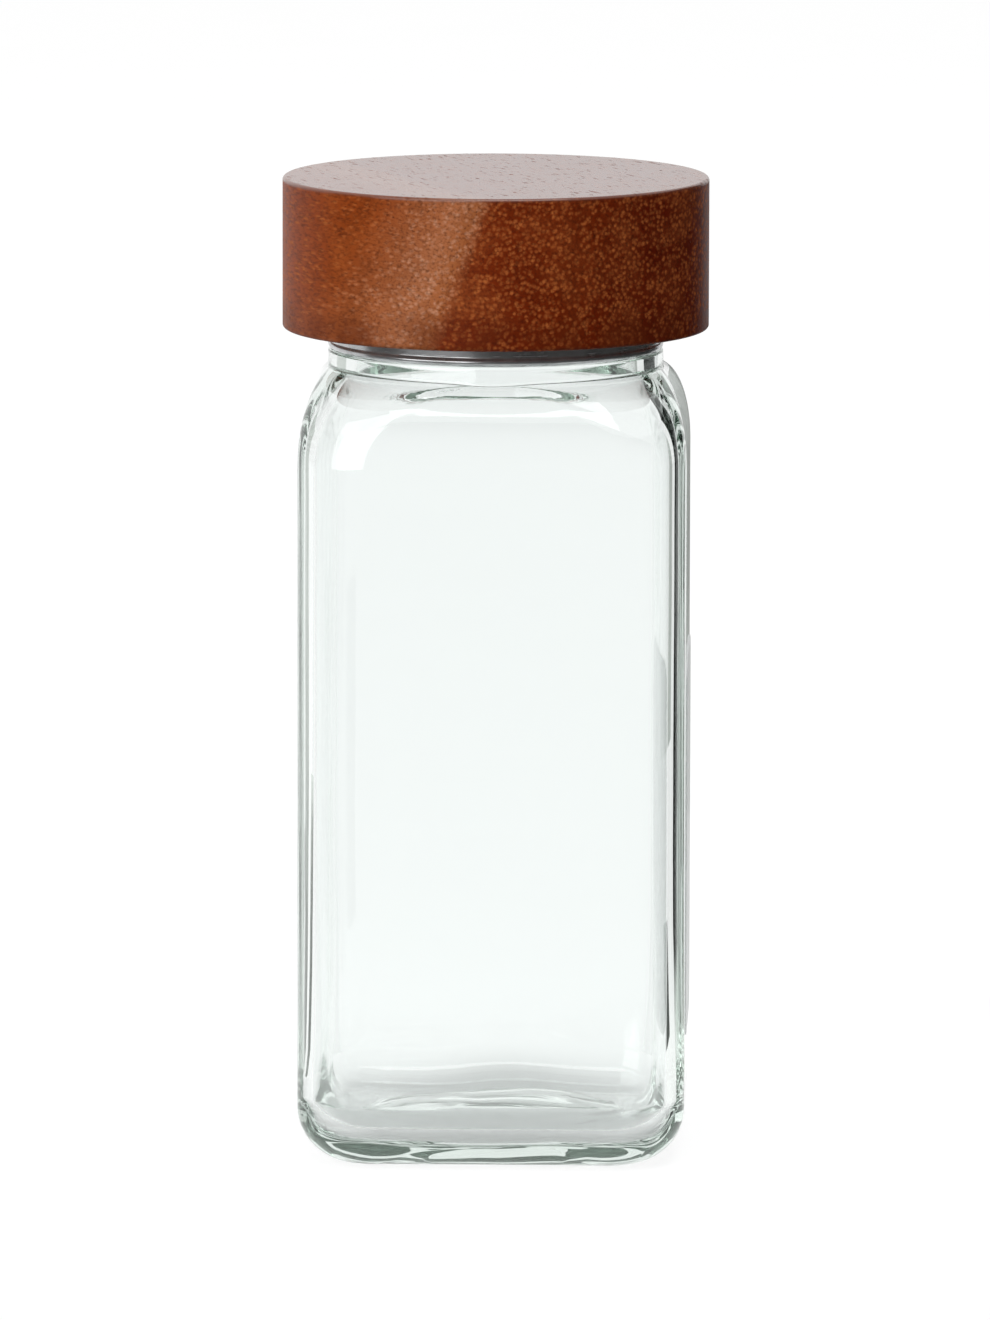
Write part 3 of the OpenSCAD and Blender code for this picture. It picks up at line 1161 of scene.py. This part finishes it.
@dataclass
class SideLabel:
    """The blank film on the +X side, with rounded corners and a soft outer edge."""

    inner_x: float = 22.71
    outer_x: float = 22.85
    half_w: float = 13.0
    low_z: float = 14.5
    high_z: float = 59.0
    corner: float = 3.0
    edge: float = 0.03
    finish: LabelFilm = LabelFilm()

    def outline(self, inset: float) -> list[Point]:
        """Draws the label's outline.

        Args:
            inset: how far it is drawn in.

        Returns:
            Points of Y and Z.
        """
        middle = (self.low_z + self.high_z) / 2
        r = self.corner - inset
        y, z = self.half_w - self.corner, (self.high_z - self.low_z) / 2 - self.corner
        turns = ((y, z, 0), (-y, z, 90), (-y, -z, 180), (y, -z, 270))
        return [
            p for cy, cz, start in turns for p in arc((cy, middle + cz), r, start, start + 90, 12)
        ]

    def build(self) -> None:
        """Builds and dresses the label."""
        levels = (
            (self.inner_x, 0.0), (self.outer_x - self.edge, 0.0),
            (self.outer_x, self.edge), (self.outer_x, 4 * self.edge),
        )
        points = [(x * MM, y * MM, z * MM) for x, inset in levels for y, z in self.outline(inset)]
        around = len(points) // len(levels)
        last = len(points) - around
        faces = band_faces(len(levels), around)
        faces += [tuple(range(around - 1, -1, -1)), tuple(range(last, last + around))]
        mesh = new_mesh("side_label_film", points, faces=faces)
        mesh.materials.append(self.finish.material())
        face_outwards(mesh)
        piece = add_object("side_label_film", mesh)
        hand_over(piece, "side_label", Body.JAR)


@dataclass
class SealDisc:
    """The foam disc that lies on the rim, with the ring that the rim has pressed into it."""

    radius: float = 18.6
    low_z: float = 106.35
    high_z: float = 107.55
    edge: float = 0.15
    print_in: float = 15.5
    print_out: float = 17.1
    print_deep: float = 0.05
    print_slope: float = 0.3
    longest: float = 3.0
    finish: SealFoam = SealFoam()

    def section(self) -> list[Point]:
        """Draws the half section from the axis below to the axis above.

        Returns:
            Points of radius and height.
        """
        low, high, r, e = self.low_z, self.high_z, self.radius, self.edge
        pressed = low + self.print_deep
        under = [(0.0, low), (self.print_in - self.print_slope, low), (self.print_in, pressed)]
        under += [(self.print_out, pressed), (self.print_out + self.print_slope, low)]
        rounds = arc((r - e, low + e), e, 270, 360, 4) + arc((r - e, high - e), e, 0, 90, 4)
        return ease([*under, *rounds, (0.0, high)], self.longest)

    def build(self) -> None:
        """Turns and dresses the disc."""
        piece = turn_section("seal_foam_disc", self.section(), self.finish.material())
        hand_over(piece, "seal_disc", Body.SEAL)


@dataclass
class ScrewShell:
    """The metal cup inside the lid, with its rolled thread and its rolled lower edge."""

    inner_r: float = 19.05
    outer_r: float = 19.4
    bend_r: float = 0.7
    low_z: float = 94.5
    under_z: float = 107.55
    top_z: float = 107.9
    curl_r: float = 0.43
    step: float = 0.2
    longest: float = 3.0
    thread: ScrewThread = ScrewThread(start_z=96.085, turns=1.25, width=1.8, rise=-1.25)
    thread_skin: Point = (-0.05, 0.05)
    finish: PlatedSheet = PlatedSheet()

    def section(self) -> list[Point]:
        """Draws the half section from the axis under the top, round the curl, to the axis above.

        Returns:
            Points of radius and height.
        """
        middle = (self.inner_r + self.outer_r) / 2
        sheet = self.outer_r - self.inner_r
        lean = math.degrees(math.acos(sheet / 2 / self.curl_r))
        bend = (self.outer_r - self.bend_r, self.top_z - self.bend_r)
        inner = arc(bend, self.bend_r - sheet, 90, 0, 6)
        centre = (middle, self.low_z + self.curl_r)
        curl = arc(centre, self.curl_r, 180 - lean, 360 + lean, 28)
        outer = arc(bend, self.bend_r, 0, 90)
        under = ease([(0.0, self.under_z), inner[0]], self.longest)
        down = ease([inner[-1], curl[0]], self.step)
        up = ease([curl[-1], outer[0]], self.step)
        over = ease([outer[-1], (0.0, self.top_z)], self.longest)
        runs = (under, inner, down, curl, up, outer)
        return [*(point for run in runs for point in run[:-1]), *over]

    def build(self) -> None:
        """Turns, threads and dresses the shell."""
        material = self.finish.material()
        piece = turn_section("screw_shell_metal", self.section(), material)
        self.thread.cut(piece, (self.inner_r, self.outer_r), self.thread_skin, material)
        hand_over(piece, "screw_shell", Body.LID)


@dataclass
class WoodLid:
    """The turned wooden lid with its blind bore and its three broken edges."""

    radius: float = 25.0
    bore_r: float = 19.5
    low_z: float = 96.85
    bore_z: float = 107.9
    high_z: float = 114.6
    top_edge: float = 0.4
    low_edge: float = 0.4
    bore_edge: float = 0.15
    longest: float = 3.0
    around: int = 256
    finish: TurnedWood = TurnedWood()

    def section(self) -> list[Point]:
        """Draws the half section from the bore's ceiling, round the outside, to the top.

        Returns:
            Points of radius and height.
        """
        r, low, high, e = self.radius, self.low_z, self.high_z, self.bore_edge
        bore = [(0.0, self.bore_z), (self.bore_r, self.bore_z)]
        mouth = arc((self.bore_r + e, low + e), e, 180, 270, 4)
        foot = arc((r - self.low_edge, low + self.low_edge), self.low_edge, 270, 360)
        crown = arc((r - self.top_edge, high - self.top_edge), self.top_edge, 0, 90, 10)
        return ease([*bore, *mouth, *foot, *crown, (0.0, high)], self.longest)

    def build(self) -> None:
        """Turns and dresses the lid."""
        material = self.finish.material()
        piece = turn_section("wood_lid_turned", self.section(), material, self.around)
        hand_over(piece, "wood_lid", Body.LID)


# The studio

# Height at which a lying card clears the floor
LOW = 0.0005


def outward(azimuth: float, elevation: float) -> Vector:
    """Returns the way out from the jar at two angles in radians, the first from -Y to +X."""
    level = math.cos(elevation)
    return Vector((level * math.sin(azimuth), -level * math.cos(azimuth), math.sin(elevation)))


class Sees(Enum):
    """Kinds of ray that a stage card is visible to."""

    MIRROR = ("glossy",)
    SURFACE = ("glossy", "diffuse")
    GLASS = ("transmission",)


@dataclass(frozen=True)
class Card:
    """A card of the studio that stands or lies near the jar, shown only in reflections or glass.

    Rays that have crossed four faces of glass, as rays straight through the jar have, find it as
    white as the surround. The azimuth and half the turn that it takes up are in degrees, from the
    front towards +X. The section is a row of points of (distance from the jar's axis, height,
    shade), in metres and from 0 for black to 1. Where a card for glass lies on the floor near the
    jar, it is painted shadow.
    """

    name: str
    azimuth: float
    half_turn: float
    section: tuple[tuple[float, float, float], ...]
    sees: Sees
    steps: int = 12
    faces_crossed: float = 4.0
    tint: tuple = (0.95, 1.0, 0.95, 1.0)

    def material(self) -> bpy.types.Material:
        """Makes the card glow by its shade.

        Returns:
            The material.
        """
        made = bpy.data.materials.new(self.name)
        graph = bare_graph(made)
        shade = graph.add("ShaderNodeAttribute", attribute_name="shade").outputs["Fac"]
        depth = graph.add("ShaderNodeLightPath").outputs["Transmission Depth"]
        straight = graph.math("COMPARE", depth, self.faces_crossed, 0.5)
        colour = graph.mix(straight, self.tint, WHITE)
        strength = graph.math("MAXIMUM", shade, straight)
        glow = graph.add("ShaderNodeEmission", {"Color": colour, "Strength": strength})
        graph.add("ShaderNodeOutputMaterial", {"Surface": glow.outputs[0]})
        return made

    def build(self) -> None:
        """Builds the card and hides it from every other kind of ray."""
        shares = [2 * i / self.steps - 1 for i in range(self.steps + 1)]
        turns = [math.radians(self.azimuth + self.half_turn * share) for share in shares]
        points = [(r * math.sin(t), -r * math.cos(t), z) for r, z, _ in self.section for t in turns]
        faces = band_faces(len(self.section), len(turns), closed=False)
        mesh = new_mesh(self.name, points, faces=faces)
        shades = [shade for _, _, shade in self.section for _ in turns]
        mesh.attributes.new("shade", "FLOAT", "POINT").data.foreach_set("value", shades)
        mesh.materials.append(self.material())
        card = add_object(self.name, mesh)
        for kind in ("camera", "diffuse", "glossy", "transmission", "volume_scatter", "shadow"):
            setattr(card, f"visible_{kind}", kind in self.sees.value)


@dataclass(frozen=True)
class Softbox:
    """A soft lamp that faces the jar from a distance in metres, at angles in degrees."""

    name: str
    azimuth: float
    elevation: float
    away: float
    side: float
    watts: float
    aim_z: float = 0.06

    def build(self) -> None:
        """Builds the lamp."""
        light = bpy.data.lights.new(self.name, "AREA")
        light.shape, light.size, light.energy = "SQUARE", self.side, self.watts
        lamp = add_object(self.name, light)
        back = outward(math.radians(self.azimuth), math.radians(self.elevation))
        lamp.location = back * self.away + Vector((0.0, 0.0, self.aim_z))
        lamp.rotation_euler = back.to_track_quat("Z", "Y").to_euler()


def seen_plainly(graph: Graph, through_glass: object = 1.0) -> Socket:
    """Finds the rays that are to meet a white backdrop.

    Args:
        graph: the graph of the world or the floor.
        through_glass: the share for rays that come through glass.

    Returns:
        1 for rays from the camera and from a mirror, the share for those through glass, and 0
        for all others.
    """
    path = graph.add("ShaderNodeLightPath").outputs
    glass = path["Is Transmission Ray"]
    glossy = graph.math("SUBTRACT", path["Is Glossy Ray"], glass, clamp=True)
    plain = graph.math("MAXIMUM", path["Is Camera Ray"], glossy)
    return graph.math("MAXIMUM", plain, graph.times(glass, through_glass))


@dataclass
class Studio:
    """Pale floor, white surround, soft lamps, cards and the camera.

    Within under_r of the jar's axis the floor shows at floor_through of its white through glass,
    and beyond clear_r at all of it: a painted shade on the floor under the jar.
    """

    ambient: float = 0.45
    floor_white: float = 0.75
    floor_glow: float = 1.13
    floor_through: float = 0.24
    under_r: float = 0.018
    clear_r: float = 0.048
    floor_dim: tuple = linear(240, 240, 240)
    floor_pale: tuple = linear(246, 246, 246)
    floor_scale: float = 40.0
    bounces: int = 48
    floor_half: float = 9.0
    floor_z: float = -0.00004
    distance: float = 1.6
    look_z: float = 0.05731
    tilt: float = math.radians(8.27)
    turn: float = math.radians(1.65)
    roll: float = math.radians(0.12)
    lens: float = 370.7
    sensor: float = 36.0
    clip: Point = (0.05, 50.0)
    boxes: tuple = (
        Softbox("key_left", -40.0, 22.0, 1.6, 1.6, 21.0),
        Softbox("fill_top", 20.0, 75.0, 1.8, 1.2, 16.0),
    )
    cards: tuple = (
        Card("flag_front", 25.0, 125.0, ((2.6, 0.001, 0.02), (2.6, 1.6, 0.02)), Sees.MIRROR),
        Card("cloth_front", 25.0, 125.0, (
            (0.05, 0.001, 0.9), (0.12, 0.001, 0.4), (0.22, 0.001, 0.02), (2.6, 0.001, 0.02),
        ), Sees.SURFACE),
        # The parts of these glass cards that lie on the floor near the jar are painted shadow: seen
        # through the glass, they darken the floor where the jar's shade falls.
        Card("flag_and_shadow_right_line", 149.5, 10.5, (
            (0.06, LOW, 1.0), (0.14, LOW, 0.01), (0.25, LOW, 0.01), (0.25, 0.2, 0.01),
        ), Sees.GLASS),
        Card("flag_right_face", 173.0, 5.0, (
            (0.25, LOW, 0.4), (0.25, 0.04, 0.3), (0.25, 0.09, 0.35),
        ), Sees.MIRROR),
        Card("flag_right_soft", 113.5, 15.5, (
            (0.25, 0.015, 0.5), (0.25, 0.07, 0.45), (0.25, 0.2, 0.65),
        ), Sees.GLASS),
        Card("painted_shadow_right_low", 111.5, 6.5, ((0.09, LOW, 0.03), (0.2, LOW, 0.03)), Sees.GLASS),
        Card("flag_and_shadow_left_line", -147.0, 9.0, (
            (0.06, LOW, 1.0), (0.11, LOW, 0.2), (0.14, LOW, 0.2), (0.18, LOW, 0.42),
            (0.25, LOW, 0.48), (0.25, 0.03, 0.6), (0.25, 0.15, 0.62),
        ), Sees.GLASS),
        Card("painted_shadow_left_low", -124.5, 4.5, (
            (0.06, LOW, 0.35), (0.12, LOW, 0.18), (0.18, LOW, 0.28), (0.25, LOW, 0.5),
            (0.25, 0.012, 0.9),
        ), Sees.GLASS),
    )

    def surround(self) -> None:
        """Makes the world: white where it is seen, and a plain soft light."""
        world = bpy.data.worlds.new("studio")
        bpy.context.scene.world = world
        graph = bare_graph(world)
        strength = graph.remap(seen_plainly(graph), 0.0, 1.0, self.ambient, 1.0)
        sky = graph.add("ShaderNodeBackground", {"Color": WHITE, "Strength": strength})
        graph.add("ShaderNodeOutputWorld", {"Surface": sky.outputs[0]})

    def floor(self) -> None:
        """Makes the floor, which shows white and keeps part of the jar's shadow."""
        half, z = self.floor_half, self.floor_z
        points = [(-half, -half, z), (half, -half, z), (half, half, z), (-half, half, z)]
        mesh = new_mesh("floor", points, faces=[(0, 1, 2, 3)])
        material = bpy.data.materials.new("floor")
        graph = bare_graph(material)
        speck = graph.noise(object_place(graph), self.floor_scale)
        colour = graph.mix(speck, self.floor_dim, self.floor_pale)
        paint = graph.add("ShaderNodeBsdfDiffuse", {"Color": colour}).outputs[0]
        inputs = {"Color": WHITE, "Strength": self.floor_glow}
        glow = graph.add("ShaderNodeEmission", inputs).outputs[0]
        # Painted shade: under the jar the glow fades for rays through the glass, so the floor there
        # reads darker.
        reach = graph.reach(*graph.split(object_place(graph))[:2])
        ends = (self.under_r, self.clear_r, self.floor_through)
        through = graph.remap(reach, *ends, smooth=True)
        share = graph.times(seen_plainly(graph, through), self.floor_white)
        both = graph.add("ShaderNodeMixShader", {0: share, 1: paint, 2: glow})
        graph.add("ShaderNodeOutputMaterial", {"Surface": both.outputs[0]})
        mesh.materials.append(material)
        add_object("floor", mesh)

    def camera(self) -> None:
        """Places the camera at the photographed angle."""
        data = bpy.data.cameras.new("camera")
        data.lens, data.sensor_width, data.sensor_fit = self.lens, self.sensor, "AUTO"
        data.clip_start, data.clip_end = self.clip
        camera = add_object("camera", data)
        back = outward(self.turn, self.tilt)
        facing = back.to_track_quat("Z", "Y").to_matrix().to_4x4()
        place = Matrix.Translation(back * self.distance + Vector((0.0, 0.0, self.look_z)))
        camera.matrix_world = place @ facing @ Matrix.Rotation(self.roll, 4, "Z")
        bpy.context.scene.camera = camera

    def build(self) -> None:
        """Builds the whole studio."""
        paths = bpy.context.scene.cycles
        paths.max_bounces = paths.transmission_bounces = paths.glossy_bounces = self.bounces
        self.surround()
        self.floor()
        self.camera()
        for part in (*self.boxes, *self.cards):
            part.build()
            log.info("studio: %s", part.name)


def main() -> None:
    """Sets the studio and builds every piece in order."""
    bpy.context.scene.view_settings.view_transform = "Standard"
    Studio().build()
    for part in (GlassJar(), SideLabel(), SealDisc(), ScrewShell(), WoodLid()):
        part.build()


if __name__ == "__main__":
    main()
